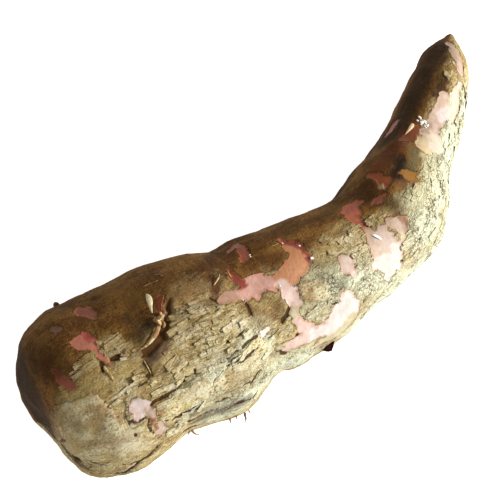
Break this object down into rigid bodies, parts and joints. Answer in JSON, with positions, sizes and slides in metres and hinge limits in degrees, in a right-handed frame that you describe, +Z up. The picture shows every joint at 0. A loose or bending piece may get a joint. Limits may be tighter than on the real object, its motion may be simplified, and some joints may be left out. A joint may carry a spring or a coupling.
{
  "type": "cassava root",
  "caption": "Whole raw cassava root in its bark, fat and blunt at one end, bent and tapering to a thin tip, lying on its side.",
  "frame": {"origin": "on the table under the middle of the root's bounding box", "axes": "+X along the root from its fat end to its thin tip, +Y to the side that the tip bends towards, +Z up"},
  "size_m": [0.3216, 0.101, 0.0814],
  "materials": {
    "bark": "matt, rough, corky bark with bare pink patches"
  },
  "bodies": {
    "root": {"cassava_root": "bark"}
  },
  "joints": []
}
